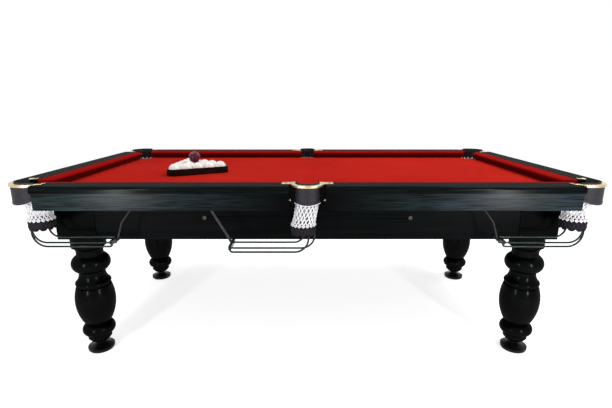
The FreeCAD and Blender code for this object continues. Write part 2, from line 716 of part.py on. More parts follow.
def balls():
    """The racked balls, and the cue ball on the hollow in their middle."""
    pitch = size.ball_diameter + size.ball_gap
    radius = size.ball_diameter / 2
    level = size.bed_top + size.bed_gap + radius
    row_step = pitch * ROW_SHARE
    racked = []
    for row in range(BALL_ROWS):
        count = BALL_ROWS - row
        for index in range(count):
            ball = bind(doc.addObject("Part::Sphere", f"ball_{row}_{index}"), Radius=radius)
            racked.append(place(ball, pitch * (index - (count - 1) / 2),
                                row_step * (row - (BALL_ROWS - 1) / 3), level))
    racked_set = group("racked_balls", racked)
    piece(place(racked_set, rack_x, size.rack_y, turn=RACK_TURN), "white_balls")
    cue = bind(doc.addObject("Part::Sphere", "cue"), Radius=radius)
    piled = pitch * math.sqrt(2 / 3)
    piece(place(cue, rack_x, size.rack_y, level + piled), "cue_ball")


def rack_outline(reach):
    """A triangle round the corner balls at a given reach, with its corners rounded on the balls."""
    pitch = size.ball_diameter + size.ball_gap
    side = pitch * (BALL_ROWS - 1)
    centre_radius = side / math.sqrt(3)
    points = []
    for corner in range(3):
        middle = math.radians(-150 + 120 * corner)
        for offset in (-60, 0, 60):
            angle = middle + math.radians(offset)
            spot = (centre_radius * math.cos(middle) + reach * math.cos(angle),
                    centre_radius * math.sin(middle) + reach * math.sin(angle))
            points.append(Via(*spot) if offset == 0 else spot)
    return points


def rack():
    """The triangular rack that stands on the cloth round the balls."""
    body = new_body("rack_body")
    inner = size.ball_diameter / 2 + size.rack_clearance
    sketch = sketch_on(body, "rack_plan", "XY_Plane", [rack_outline(inner + size.rack_wall), rack_outline(inner)])
    pad(body, "rack_height_pad", sketch, size.rack_height)
    place(body, rack_x, size.rack_y, size.bed_top + size.bed_gap, turn=RACK_TURN)
    return piece(body, "rack")


def check():
    """Stop unless every object is computed and every sub-part is a sound solid."""
    for thing in doc.Objects:
        if "Invalid" in thing.State or "Error" in thing.State:
            raise RuntimeError(f"{thing.Name} did not compute: {thing.State}")
    for thing in pieces:
        shape = thing.Shape
        if shape.isNull() or not shape.isValid() or not shape.Solids:
            raise RuntimeError(f"{thing.Label} is not a sound solid")


def write():
    os.makedirs("parts", exist_ok=True)
    for thing in pieces:
        thing.Shape.exportStep(f"parts/{thing.Label}.step")


for side_name, side_sign in SIDES.items():
    for end_name, end_sign in ENDS.items():
        leg(f"leg_{side_name}_{end_name}", leg_x * end_sign, leg_y * side_sign)
        foot(f"foot_{side_name}_{end_name}", leg_x * end_sign, leg_y * side_sign)
aprons()
cross_beams()
bed()
rails()
pocket_trim()
ball_returns()
balls()
rack()
doc.recompute()
check()
write()
print(f"{len(pieces)} sub-parts, {sum(len(thing.Shape.Solids) for thing in pieces)} solids")
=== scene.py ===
import math
import random

import bmesh
import bpy
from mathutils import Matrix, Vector


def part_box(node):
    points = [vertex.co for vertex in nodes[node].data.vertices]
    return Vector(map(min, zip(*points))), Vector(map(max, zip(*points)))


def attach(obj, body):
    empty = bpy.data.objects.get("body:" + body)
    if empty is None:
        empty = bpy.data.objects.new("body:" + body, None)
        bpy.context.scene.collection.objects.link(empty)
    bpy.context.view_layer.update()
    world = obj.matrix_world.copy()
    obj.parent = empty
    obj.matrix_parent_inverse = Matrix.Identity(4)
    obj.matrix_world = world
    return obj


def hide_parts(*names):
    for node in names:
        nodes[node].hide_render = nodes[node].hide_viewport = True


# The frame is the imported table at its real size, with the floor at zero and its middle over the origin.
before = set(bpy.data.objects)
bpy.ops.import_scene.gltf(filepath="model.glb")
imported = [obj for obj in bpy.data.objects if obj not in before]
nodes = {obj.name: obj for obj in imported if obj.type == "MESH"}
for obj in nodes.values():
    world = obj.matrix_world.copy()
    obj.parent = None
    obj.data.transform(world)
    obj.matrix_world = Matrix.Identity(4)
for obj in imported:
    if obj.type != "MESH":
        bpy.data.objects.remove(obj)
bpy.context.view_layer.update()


# Turned legs of hardwood, stained black and sprayed with gloss lacquer, one under each corner of the frame.
# The lacquer is thick and slightly uneven, and the stain under it lets a little green and blue through.
class Wire:
    """A shader socket that works in plain sums: each operator adds one Math node."""

    def __init__(self, finish, socket):
        self.finish = finish
        self.socket = socket

    def math(self, operation, first, second):
        return self.finish.node("ShaderNodeMath", {"operation": operation}, {0: first, 1: second})

    def __add__(self, other):
        return self.math("ADD", self, other)

    def __sub__(self, other):
        return self.math("SUBTRACT", self, other)

    def __rsub__(self, other):
        return self.math("SUBTRACT", other, self)

    def __mul__(self, other):
        return self.math("MULTIPLY", self, other)

    def __abs__(self):
        return self.finish.node("ShaderNodeMath", {"operation": "ABSOLUTE"}, {0: self})

    __radd__ = __add__
    __rmul__ = __mul__


class Finish:
    """One surface finish: a material whose nodes are added as the finish is described."""

    def __init__(self, name):
        self.material = bpy.data.materials.new(name)
        self.material.use_nodes = True
        self.tree = self.material.node_tree
        self.tree.nodes.clear()

    def node(self, kind, settings=None, sockets=None, output=0):
        """Add a node, set it up, then feed its sockets with numbers, colours or wires."""
        made = self.tree.nodes.new(kind)
        for key, value in (settings or {}).items():
            if key == "stops":
                for element, position in zip(made.color_ramp.elements, value):
                    element.position = position
            else:
                setattr(made, key, value)
        for key, value in (sockets or {}).items():
            if isinstance(value, Wire):
                self.tree.links.new(value.socket, made.inputs[key])
            else:
                made.inputs[key].default_value = value
        return Wire(self, made.outputs[output]) if len(made.outputs) else None

    def place(self, stretch=(1.0, 1.0, 1.0)):
        """Where a point lies on the table at rest, in metres, times a stretch along each axis."""
        spot = self.node("ShaderNodeTexCoord", output="Object")
        return self.node("ShaderNodeMapping", None, {"Vector": spot, "Scale": stretch})

    def noise(self, stretch, detail=3.0, distortion=0.0):
        """Cloudy variation from 0 to 1, with about as many clouds in a metre as the stretch says."""
        return self.node("ShaderNodeTexNoise", None, {"Vector": self.place(stretch), "Scale": 1.0,
                                                      "Detail": detail, "Distortion": distortion})

    def ramp(self, factor, start, end):
        """Zero up to a start and one from an end, with an even rise between them."""
        return self.node("ShaderNodeValToRGB", {"stops": (start, end)}, {"Fac": factor})

    def mix(self, factor, first, second):
        """The first colour where the factor is zero and the second where it is one."""
        return self.node("ShaderNodeMix", {"data_type": "RGBA"}, {0: factor, 6: first, 7: second}, 2)

    def surface(self, sockets, bump=None, depth=0.0):
        """Close the finish with its shader, pressed in or raised by up to a depth where bump says."""
        if bump is not None:
            raised = self.node("ShaderNodeBump", None, {"Height": bump, "Distance": depth})
            sockets = dict(sockets, Normal=raised)
        shader = self.node("ShaderNodeBsdfPrincipled", None, sockets)
        self.node("ShaderNodeOutputMaterial", None, {"Surface": shader})
        return self.material


def paint(red, green, blue):
    """A colour as it looks on a screen, 0 to 255 each, as the shader's linear colour."""
    shares = [part / 255 for part in (red, green, blue)]
    linear = [share / 12.92 if share < 0.04045 else ((share + 0.055) / 1.055) ** 2.4 for share in shares]
    return (*linear, 1.0)


def black_lacquer(name, stretch, gloss, shine, tints, deep=None):
    """Black lacquer on wood whose grain runs along the axis with the smallest stretch.

    The coat mirrors as much as shine says, and the stain under it shows the two tints in its streaks.
    Where deep gives two distances from the middle of the table, the colour is a painted shade, near
    black under a thinner coat, before the first of them, and the tints show undimmed from the second on.
    """
    finish = Finish(name)
    streaks = finish.noise(stretch, 5.0, 0.4)
    clouds = finish.noise((5.0, 5.0, 5.0), 2.0)
    dust = finish.noise((420.0, 420.0, 420.0), 1.0)
    color = finish.mix(finish.ramp(streaks, 0.36, 0.68), paint(4, 4, 4), finish.mix(clouds, *tints))
    coat = shine * (0.8 + 0.4 * streaks)
    if deep is not None:
        # Painted shade: towards the middle the colour goes near black and the coat thins.
        along = finish.node("ShaderNodeSeparateXYZ", None, {"Vector": finish.place()}, "X")
        painted_reflection_share = finish.ramp(abs(along), *deep)
        color = finish.mix(painted_reflection_share, paint(6, 6, 7), color)
        coat = coat * (0.25 + 0.75 * painted_reflection_share)
    return finish.surface({"Base Color": color, "Roughness": 0.5 + 0.2 * clouds, "Specular IOR Level": 0.0,
                           "Coat Weight": coat, "Coat Roughness": 1 - gloss},
                          streaks * 0.8 + dust * 0.2, 0.0004)


def dress(name, material):
    """Give a CAD piece its finish."""
    slots = nodes[name].data.materials
    slots.clear()
    slots.append(material)


CORNERS = ["front_left", "front_right", "rear_left", "rear_right"]
LEG_TINTS = (paint(2, 6, 4), paint(3, 3, 7))
leg_lacquer = black_lacquer("leg_lacquer", (22.0, 22.0, 2.5), 0.82, 0.08, LEG_TINTS)
for corner in CORNERS:
    dress(f"leg_{corner}", leg_lacquer)


# Levelling feet: cast discs with a domed top, enamelled black, on steel stems that screw up into the legs.
# Their enamel is duller than the lacquer of the legs and scuffed near the floor.
def black_enamel():
    finish = Finish("foot_enamel")
    scuffs = finish.noise((90.0, 90.0, 160.0), 4.0)
    color = finish.mix(finish.ramp(scuffs, 0.55, 0.75), paint(7, 7, 8), paint(26, 26, 27))
    return finish.surface({"Base Color": color, "Roughness": 0.2 + 0.3 * scuffs, "Specular IOR Level": 0.12},
                          scuffs, 0.0003)


foot_enamel = black_enamel()
for corner in CORNERS:
    dress(f"foot_{corner}", foot_enamel)


# Apron boards between the leg blocks, in the same stained hardwood with a flatter black finish.
# The arrises of all the boards are eased a little, so that they catch the light as planed edges do.
MM = 0.001
BOARD_EDGE = 1.5 * MM
WELD_REACH = 0.01 * MM
EASE_STEPS = 3
EASE_FROM = 40


def ease(name, width):
    """Round the sharp edges of a CAD piece without touching its mesh."""
    weld = nodes[name].modifiers.new("weld", "WELD")
    weld.merge_threshold = WELD_REACH
    bevel = nodes[name].modifiers.new("ease", "BEVEL")
    bevel.width = width
    bevel.segments = EASE_STEPS
    bevel.limit_method = "ANGLE"
    bevel.angle_limit = math.radians(EASE_FROM)
    bevel.harden_normals = True


APRON_TINTS = (paint(4, 13, 9), paint(7, 8, 15))
long_satin = black_lacquer("long_apron_satin", (2.0, 60.0, 60.0), 0.62, 0.06, APRON_TINTS)
cross_satin = black_lacquer("cross_apron_satin", (60.0, 2.0, 60.0), 0.62, 0.06, APRON_TINTS)
for side in ("front", "rear"):
    dress(f"{side}_apron", long_satin)
for side in ("left", "right"):
    dress(f"{side}_apron", cross_satin)
for side in ("front", "rear", "left", "right"):
    ease(f"{side}_apron", BOARD_EDGE)


# Cross beams under the joints of the slates: bare planed softwood, with growth rings along their length.
# They lie across the frame, let in between the long aprons and bolted to them.
def bare_wood():
    finish = Finish("beam_wood")
    rings = finish.node("ShaderNodeTexWave", {"wave_type": "BANDS", "bands_direction": "X"},
                        {"Vector": finish.place((38.0, 2.5, 38.0)), "Scale": 1.0, "Distortion": 5.0,
                         "Detail": 3.0}, 1)
    fibres = finish.noise((320.0, 8.0, 320.0), 3.0)
    color = finish.mix(rings, paint(150, 112, 70), paint(196, 158, 108))
    shaded = finish.mix(fibres * 0.35, color, paint(120, 84, 50))
    return finish.surface({"Base Color": shaded, "Roughness": 0.7 + 0.1 * fibres}, fibres, 0.0004)


beam_wood = bare_wood()
for side in ("left", "right"):
    dress(f"cross_beam_{side}", beam_wood)
    ease(f"cross_beam_{side}", 2 * BOARD_EDGE)


# Beam bolts of steel, driven through the long aprons into the ends of the cross beams.
# Their round heads are darkened by handling.
def worn_steel():
    finish = Finish("bolt_steel")
    turned = finish.noise((260.0, 260.0, 260.0), 3.0)
    color = finish.mix(turned, paint(40, 38, 35), paint(78, 74, 68))
    return finish.surface({"Base Color": color, "Metallic": 1.0, "Roughness": 0.3 + 0.25 * turned}, turned,
                          0.0002)


bolt_steel = worn_steel()
dress("beam_bolts", bolt_steel)


# Slates, three slabs of grey stone ground flat, which lie end to end on the frame and the beams.
# Their edges show in the pockets and from below, with the faint layers of split stone.
def ground_slate():
    finish = Finish("slate")
    layers = finish.noise((6.0, 6.0, 240.0), 4.0)
    specks = finish.noise((300.0, 300.0, 300.0), 2.0)
    color = finish.mix(layers, paint(74, 78, 84), paint(108, 112, 116))
    return finish.surface({"Base Color": finish.mix(specks * 0.4, color, paint(60, 62, 66)),
                           "Roughness": 0.62 + 0.2 * layers}, layers * 0.6 + specks * 0.4, 0.0006)


slate = ground_slate()
for side in ("left", "middle", "right"):
    dress(f"slate_{side}", slate)


# Bed cloth: one red worsted sheet stretched over the slates and glued down inside the pocket holes.
# Its threads are finer than half a millimetre and its nap lies along the table.
CLOTH_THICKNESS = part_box("bed_cloth")[1].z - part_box("bed_cloth")[0].z
CORNER_HOLE = 91 * MM
SIDE_HOLE = 63 * MM
FOLD_DEPTH = 26 * MM
FOLD_ROUND = 3 * MM
SHEET_SHARE = 0.8
CORNER_X, CORNER_Y = 1142 * MM, 595 * MM
SIDE_Y = 632 * MM
CURVE_STEPS = 48


class Mould:
    """Points and faces gathered for one piece, then made into an object of the scene."""

    def __init__(self):
        self.points = []
        self.faces = []

    def rings(self, rings, run_closed=False, capped=True):
        """Join rings of points into a skin, with caps on the ends of an open run."""
        start = len(self.points)
        count = len(rings[0])
        for ring in rings:
            self.points.extend(ring)
        for row in range(len(rings) if run_closed else len(rings) - 1):
            here = start + row * count
            there = start + (row + 1) % len(rings) * count
            for index in range(count):
                after = (index + 1) % count
                self.faces.append((here + index, here + after, there + after, there + index))
        if capped and not run_closed:
            self.faces.append(tuple(range(start, start + count)))
            self.faces.append(tuple(range(len(self.points) - count, len(self.points))))

    def tube(self, path, radius, sides=8, closed=False):
        """A round cord along a path of points."""
        path = [Vector(spot) for spot in path]
        across = None
        rings = []
        for index, spot in enumerate(path):
            before = path[index - 1] if index or closed else spot
            after = path[(index + 1) % len(path)] if closed or index + 1 < len(path) else spot
            along = (after - before).normalized()
            across = along.orthogonal() if across is None else across
            across = (across - along * across.dot(along)).normalized()
            upright = along.cross(across)
            turns = [2 * math.pi * step / sides for step in range(sides)]
            rings.append([spot + (across * math.cos(turn) + upright * math.sin(turn)) * radius
                          for turn in turns])
        self.rings(rings, run_closed=closed)

    def ball(self, centre, radius, rows=5, sides=8):
        """A small round knot, bead or rivet head."""
        rings = []
        for row in range(rows):
            slope = math.pi * (row + 0.35) / (rows - 0.3)
            rings.append([centre + Vector((math.sin(slope) * math.cos(2 * math.pi * step / sides),
                                           math.sin(slope) * math.sin(2 * math.pi * step / sides),
                                           math.cos(slope))) * radius for step in range(sides)])
        self.rings(rings)

    def make(self, name, material, body="table", sharp=40):
        mesh = bpy.data.meshes.new(name)
        mesh.from_pydata([tuple(point) for point in self.points], [], self.faces)
        work = bmesh.new()
        work.from_mesh(mesh)
        bmesh.ops.recalc_face_normals(work, faces=work.faces)
        work.to_mesh(mesh)
        work.free()
        mesh.shade_smooth()
        mesh.set_sharp_from_angle(angle=math.radians(sharp))
        mesh.materials.append(material)
        made = bpy.data.objects.new(name, mesh)
        bpy.context.scene.collection.objects.link(made)
        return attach(made, body)


def red_cloth(name, nap, dark, pale, undercut_shade=None):
    """Worsted cloth: crossing threads under a short nap that is brushed along one axis, between two reds.

    Where the last argument gives a red, a height and a fade, that red is a painted shade: the cloth has it
    up to the height, and its own reds from a fade above it.
    """
    finish = Finish(name)
    brushed = finish.noise(nap, 3.0)
    clouds = finish.noise((1.6, 2.2, 2.2), 2.0)
    threads = finish.noise((1900.0, 1900.0, 1900.0), 1.0)
    shade = 0.55 * brushed + 0.45 * clouds
    color = finish.mix(finish.ramp(shade, 0.3, 0.7), dark, pale)
    if undercut_shade is not None:
        shade_red, top, fade = undercut_shade
        height = finish.node("ShaderNodeSeparateXYZ", None, {"Vector": finish.place()}, "Z")
        color = finish.mix(finish.ramp((height - top) * (1 / fade), 0.0, 1.0), shade_red, color)
    return finish.surface({"Base Color": finish.mix(threads * 0.3, color, dark),
                           "Roughness": 0.86 + 0.1 * brushed, "Specular IOR Level": 0.02,
                           "Sheen Weight": 0.04, "Sheen Roughness": 0.5, "Sheen Tint": paint(255, 110, 90)},
                          threads * 0.7 + brushed * 0.3, 0.0004)


def arc(centre, radius, start, end, steps):
    """Plan points on an arc, from one angle to another in degrees."""
    turns = [math.radians(start + (end - start) * step / steps) for step in range(steps + 1)]
    return [(centre[0] + radius * math.cos(turn), centre[1] + radius * math.sin(turn)) for turn in turns]


def cloth_outline(inset, grow):
    """The cut of the cloth, anticlockwise: pocket curves drawn in by an inset, outer edge let out."""
    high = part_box("bed_cloth")[1]
    edge_x = high.x + grow
    edge_y = high.y + grow
    corner_hole = CORNER_HOLE + inset
    side_hole = SIDE_HOLE + inset
    fall = math.degrees(math.asin((edge_y - SIDE_Y) / side_hole))
    start_x = -math.degrees(math.acos((edge_x - CORNER_X) / corner_hole))
    start_y = 90 + math.degrees(math.acos((edge_y - CORNER_Y) / corner_hole))
    outline = []
    for sign_x, sign_y in ((1, -1), (1, 1), (-1, 1), (-1, -1)):
        curve = [(sign_x * x, sign_y * y) for x, y in
                 arc((CORNER_X, CORNER_Y), corner_hole, 360 + start_x, start_y, CURVE_STEPS)]
        outline += curve[::-1] if sign_x * sign_y < 0 else curve
        if sign_x * sign_y > 0:
            outline += [(sign_y * x, sign_y * y) for x, y in
                        arc((0, SIDE_Y), side_hole, fall, -180 - fall, CURVE_STEPS)]
    return outline


bed_red = red_cloth("bed_red", (14.0, 90.0, 90.0), paint(168, 20, 13), paint(198, 38, 27))
low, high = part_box("bed_cloth")
# Each step of the fold: how far the curve is drawn in, how far the outer edge stands out, how deep it lies.
fold = [(2.0 * MM, 0.0, 0.0), (0.6 * MM, 0.2 * MM, 0.3 * MM), (-0.5 * MM, 0.4 * MM, 1.4 * MM),
        (-1.0 * MM, 0.5 * MM, FOLD_ROUND), (-1.0 * MM, 0.5 * MM, FOLD_DEPTH)]
outline = cloth_outline(0.0, 0.0)
cut = Mould()
cut.rings([[Vector((x, y, high.z - depth)) for x, y in cloth_outline(inset, grow)]
           for inset, grow, depth in fold], capped=False)
cut.faces.append(tuple(range(len(outline))))
bed_cloth = cut.make("bed_cloth_sheet", bed_red)
thickness = bed_cloth.modifiers.new("thickness", "SOLIDIFY")
thickness.thickness = SHEET_SHARE * CLOTH_THICKNESS
bed_area = sum(x * following_y - following_x * y for (x, y), (following_x, following_y)
               in zip(outline, outline[1:] + outline[:1])) / 2
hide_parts("bed_cloth")
bed_area + FOLD_DEPTH * 7.0


# Rails and the skirt boards under them, of stained hardwood in the same black lacquer as the legs.
# The rails have a rounded outer edge and are bolted down through the slates, whose edges the skirts hide.
LONG_RAILS = ["front_left", "front_right", "rear_left", "rear_right"]
CROSS_RAILS = ["left", "right"]
RAIL_TINTS = (paint(9, 25, 18), paint(13, 17, 25))
# The skirts' blue-green streak tints are a painted reflection on the black lacquer.
PAINTED_REFLECTION_TINTS = (paint(28, 52, 44), paint(40, 49, 66))
# On the long skirts the painted reflection fades into a painted shade towards the middle of the table.
for runs, stretch, deep in ((LONG_RAILS, (8.0, 180.0, 180.0), (0.1, 0.62)),
                            (CROSS_RAILS, (180.0, 8.0, 180.0), None)):
    rail_lacquer = black_lacquer(f"rail_lacquer_{runs[0]}", stretch, 0.82, 0.08, RAIL_TINTS)
    skirt_lacquer = black_lacquer(f"skirt_lacquer_{runs[0]}", stretch, 0.74, 0.2, PAINTED_REFLECTION_TINTS, deep)
    for run in runs:
        dress(f"rail_{run}", rail_lacquer)
        dress(f"skirt_{run}", skirt_lacquer)
        ease(f"rail_{run}", BOARD_EDGE)
        ease(f"skirt_{run}", BOARD_EDGE)


# Cushions: strips of rubber with a sharp nose, glued along the rails and covered in the same red cloth.
# The cloth is pulled tight over the nose and folded round the ends at the pockets; its reds are painted
# darker than the bed's, as painted shade.
NOSE_RADIUS = 4.5 * MM
NOSE_HEIGHT = 34 * MM
UNDERCUT = 13 * MM
END_ROUND = 6 * MM
CORNER_CUT = 33 * MM
SIDE_CUT = 4 * MM
LIFT = 0.3 * MM
FOOT_SET = 2 * MM
CROWN = 0.7 * MM
CROWN_STEPS = 7
CROWN_SET, CROWN_DROP = 3 * MM, 0.3 * MM
NOSE_SET, NOSE_SHARE = 1.2 * MM, 0.99
NOSE_TURNS = range(100, 201, 20)
END_DRAW = 0.12
END_STEPS = [0.0, 0.6 * MM, 2 * MM, END_ROUND, 3 * END_ROUND]
# Folds of the cover: in from the back and down from the top, then out from the undercut and up.
BACK_FOLD = [(0.0, 2.4 * MM), (1.0 * MM, 2.0 * MM), (1.8 * MM, 0.6 * MM)]
FOOT_FOLD = [(1.5 * MM, 2.6 * MM), (0.4 * MM, 0.8 * MM)]


def cushion_profile(depth, bed, top):
    """Points round the section of a cushion, as distance from the nose line and height."""
    nose = (NOSE_RADIUS, bed + NOSE_HEIGHT)
    back = depth - LIFT
    points = [(UNDERCUT + FOOT_SET, bed + LIFT), (back, bed + LIFT)]
    points += [(back - inset, top - drop) for inset, drop in BACK_FOLD]
    crown_start = Vector((back - CROWN_SET, top - CROWN_DROP))
    crown_end = Vector((nose[0] + NOSE_SET, nose[1] + NOSE_RADIUS * NOSE_SHARE))
    for step in range(CROWN_STEPS + 1):
        share = step / CROWN_STEPS
        spot = crown_start.lerp(crown_end, share)
        points.append((spot.x, spot.y + CROWN * math.sin(math.pi * share)))
    for turn in NOSE_TURNS:
        angle = math.radians(turn)
        points.append((nose[0] + NOSE_RADIUS * math.cos(angle), nose[1] + NOSE_RADIUS * math.sin(angle)))
    return points + [(UNDERCUT - inset, bed + LIFT + rise) for inset, rise in FOOT_FOLD]


def cushion(run, cuts, red):
    """One covered cushion, with its ends slanted back from the nose by the two cuts."""
    low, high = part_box(f"cushion_{run}")
    lengthwise = 0 if run in LONG_RAILS else 1
    across = 1 - lengthwise
    outwards = 1 if high[across] > 0 else -1
    nose_line = min(abs(low[across]), abs(high[across]))
    depth = high[across] - low[across]
    profile = cushion_profile(depth, low.z, high.z)
    middle = [sum(spot[part] for spot in profile) / len(profile) for part in (0, 1)]
    rings = []
    for end, inwards, slant in ((low[lengthwise], 1, cuts[0]), (high[lengthwise], -1, cuts[1])):
        section = []
        for far in END_STEPS:
            drawn = max(END_ROUND - far, 0.0)
            shrink = 1 - END_DRAW * (1 - math.sqrt(1 - (drawn / END_ROUND) ** 2))
            ring = []
            for distance, height in profile:
                distance = middle[0] + (distance - middle[0]) * shrink
                spot = Vector((0, 0, middle[1] + (height - middle[1]) * shrink))
                spot[lengthwise] = end + inwards * (far + slant * (1 - distance / depth))
                spot[across] = outwards * (nose_line + distance)
                ring.append(spot)
            section.append(ring)
        rings += section if inwards > 0 else section[::-1]
    covered = Mould()
    covered.rings(rings)
    made = covered.make(f"cushion_cover_{run}", red, sharp=50)
    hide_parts(f"cushion_{run}")


# The cushion reds are the bed's cloth painted darker: painted shade.
SHADED_CUSHION_REDS = (paint(136, 6, 4), paint(162, 14, 10))
# Under the nose the cover is painted a darker red: painted shade in the undercut.
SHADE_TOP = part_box("cushion_left")[0].z + NOSE_HEIGHT - 1.5 * NOSE_RADIUS
PAINTED_UNDERCUT_SHADE = (paint(62, 3, 3), SHADE_TOP, 4 * MM)
long_red = red_cloth("long_cushion_red", (14.0, 120.0, 120.0), *SHADED_CUSHION_REDS, PAINTED_UNDERCUT_SHADE)
cross_red = red_cloth("cross_cushion_red", (120.0, 14.0, 120.0), *SHADED_CUSHION_REDS, PAINTED_UNDERCUT_SHADE)
for run in LONG_RAILS:
    cuts = (CORNER_CUT, SIDE_CUT) if run.endswith("left") else (SIDE_CUT, CORNER_CUT)
    cushion(run, cuts, long_red)
for run in CROSS_RAILS:
    cushion(run, (CORNER_CUT, CORNER_CUT), cross_red)


# Pocket irons of cast brass, polished: a rim round each pocket and flat tongues on the rails at both sides.
# Each tongue is held by a slotted screw, and the edges are worn soft.
IRON_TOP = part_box("corner_irons")[1].z
IRON_EDGE = 1.2 * MM
SCREW_RADIUS = 5 * MM
SCREW_RISE = 0.8 * MM
SCREW_TAPER = 0.88
SCREW_STEPS = 15
SCREW_TURN = 35
SLOT_WIDTH = 1.2 * MM
CORNER_SCREWS = [(1084 * MM, 653 * MM), (1184 * MM, 523 * MM)]
SIDE_SCREW_X = 89 * MM


def polished_brass():
    finish = Finish("pocket_brass")
    stains = finish.noise((30.0, 30.0, 30.0), 4.0)
    scratches = finish.noise((900.0, 120.0, 900.0), 2.0)
    color = finish.mix(finish.ramp(stains, 0.35, 0.75), paint(214, 199, 164), paint(180, 156, 112))
    return finish.surface({"Base Color": color, "Metallic": 0.85, "Roughness": 0.26 + 0.2 * stains},
                          scratches * 0.6 + stains * 0.4, 0.0002)


def half_disc(mould, centre, turn, low, high):
    """Half of a slotted screw head, standing on the tongue."""
    steps = [math.radians(turn + 180 * step / SCREW_STEPS) for step in range(SCREW_STEPS + 1)]
    shift = Vector((-math.sin(math.radians(turn)), math.cos(math.radians(turn)), 0)) * (SLOT_WIDTH / 2)
    rings = []
    for height, share in ((low, 1.0), (high - SCREW_RISE / 3, 1.0), (high, SCREW_TAPER)):
        middle = Vector((*centre, height)) + shift
        rings.append([middle + Vector((math.cos(step), math.sin(step), 0)) * (share * SCREW_RADIUS)
                      for step in steps])
    mould.rings(rings)


brass = polished_brass()
for name in ("corner_irons", "side_irons"):
    dress(name, brass)
    ease(name, IRON_EDGE)
screws = Mould()
spots = [(sign_x * x, sign_y * y) for sign_x in (-1, 1) for sign_y in (-1, 1) for x, y in CORNER_SCREWS]
spots += [(sign_x * SIDE_SCREW_X, sign_y * SIDE_Y) for sign_x in (-1, 1) for sign_y in (-1, 1)]
for index, spot in enumerate(spots):
    for half in (0, 180):
        half_disc(screws, spot, SCREW_TURN * index + half, IRON_TOP, IRON_TOP + SCREW_RISE)
screws.make("iron_screws", bolt_steel)


# Pocket leathers: a flap of black hide bent round each pocket under its iron, its hem lowest in the middle.
# A strip of the hide lines the iron, ears close the middle pockets, and a white cord there runs along
# the hem from nail to nail.
LEATHER_RADIUS = {"corner": 88 * MM, "side": 60 * MM}
LEATHER_ARC = {"corner": (-34, 114), "side": (-23, 203)}
LEATHER_LOW, LEATHER_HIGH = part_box("corner_leathers")[0].z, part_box("corner_leathers")[1].z
BEND_STEPS = 48
HIDE = 4 * MM
HEM = 12 * MM
HEM_STEP = 1 * MM
HEM_IN, HEM_UP = 1.2 * MM, 1.5 * MM
HEM_RISE = 22 * MM
HEM_POWER = {"corner": 3.0, "side": 1.5}
RING_RADIUS = {"corner": 74 * MM, "side": 50 * MM}
RING_ARC = {"corner": (-41, 119), "side": (-27, 207)}
LINER, LINER_GAP = 2 * MM, 0.2 * MM
LINER_LOW, LINER_HIGH = IRON_TOP - 17 * MM, IRON_TOP + 6 * MM
LINER_SECTION = [(LINER, LINER_LOW), (LINER_GAP, LINER_LOW), (LINER_GAP, LINER_HIGH), (LINER, LINER_HIGH)]
SKIRT_END = 75 * MM
EAR_OUT = 30 * MM
EAR_IN = 49.5 * MM
STITCH = 5 * MM
STITCH_STEP = 8 * MM
STITCH_MARGIN = 2
HEM_STITCHES, TOP_STITCHES = 3 * MM, 10 * MM
STITCH_PATH = [(0.0, -0.4 * MM), (0.2, 0.25 * MM), (0.8, 0.25 * MM), (1.0, -0.4 * MM)]
THREAD = 0.6 * MM
HEM_CORD = 1.7 * MM
CORD_TURNS = range(24, 157, 6)
NAIL_SET, NAIL_OUT = 3 * MM, 1.6 * HEM_CORD


class Pocket:
    """One pocket: its middle, the way it faces, and the radius and arc of its leather and of its iron."""

    def __init__(self, name, kind, centre, signs):
        self.name = name
        self.kind = kind
        self.centre = centre
        self.signs = signs
        self.radius = LEATHER_RADIUS[kind]
        self.arc_ends = LEATHER_ARC[kind]
        self.ring = RING_RADIUS[kind]
        self.ring_ends = RING_ARC[kind]

    def spot(self, radius, turn, z, shift=(0.0, 0.0)):
        """A point round the pocket; turns are in degrees from its own outward X towards its outward Y."""
        turn = math.radians(turn)
        return Vector((self.centre[0] + self.signs[0] * (radius * math.cos(turn) + shift[0]),
                       self.centre[1] + self.signs[1] * (radius * math.sin(turn) + shift[1]), z))


POCKETS = []
for side, sign_y in (("front", -1), ("rear", 1)):
    for end, sign_x in (("left", -1), ("right", 1)):
        POCKETS.append(Pocket(f"{side}_{end}", "corner", (sign_x * CORNER_X, sign_y * CORNER_Y),
                              (sign_x, sign_y)))
    POCKETS.append(Pocket(f"{side}_side", "side", (0.0, sign_y * SIDE_Y), (sign_y, sign_y)))


def hide(name, dark, pale, shine, mirror=0.3):
    """Dyed leather: a pebbled grain with fine creases, paler where it is rubbed."""
    finish = Finish(name)
    pebbles = finish.node("ShaderNodeTexVoronoi", {"feature": "F1"},
                          {"Vector": finish.place((420.0, 420.0, 420.0)), "Scale": 1.0})
    creases = finish.noise((70.0, 70.0, 160.0), 5.0, 1.2)
    color = finish.mix(finish.ramp(creases, 0.4, 0.78), dark, pale)
    return finish.surface({"Base Color": color, "Roughness": shine + 0.25 * creases,
                           "Specular IOR Level": mirror}, pebbles * 0.5 + creases * 0.5, 0.0008)


def spun(name, color, shade):
    """Twisted cord or thread, with the light catching its turns."""
    finish = Finish(name)
    fibres = finish.noise((800.0, 800.0, 500.0), 2.0)
    return finish.surface({"Base Color": finish.mix(fibres, shade, color), "Roughness": 0.75 + 0.2 * fibres,
                           "Specular IOR Level": 0.25}, fibres, 0.0006)


def hem_height(pocket, turn):
    """The height of a leather's lower edge at a turn round its pocket."""
    start, end = pocket.arc_ends
    aside = (2 * turn - start - end) / (end - start)
    return LEATHER_LOW + HEM_RISE * abs(aside) ** HEM_POWER[pocket.kind]


def flap_section(pocket, turn):
    """The points round the section of a leather at one turn, thicker along its hem."""
    outer, inner = pocket.radius, pocket.radius - HIDE
    hem = hem_height(pocket, turn)
    section = [(inner, LEATHER_HIGH), (outer - HEM_STEP, LEATHER_HIGH),
               (outer - HEM_STEP, hem + HEM + HEM_STEP), (outer, hem + HEM), (outer, hem + HEM_UP),
               (outer - HEM_IN, hem), (inner + HEM_IN, hem), (inner, hem + HEM_UP)]
    return [pocket.spot(radius, turn, z) for radius, z in section]


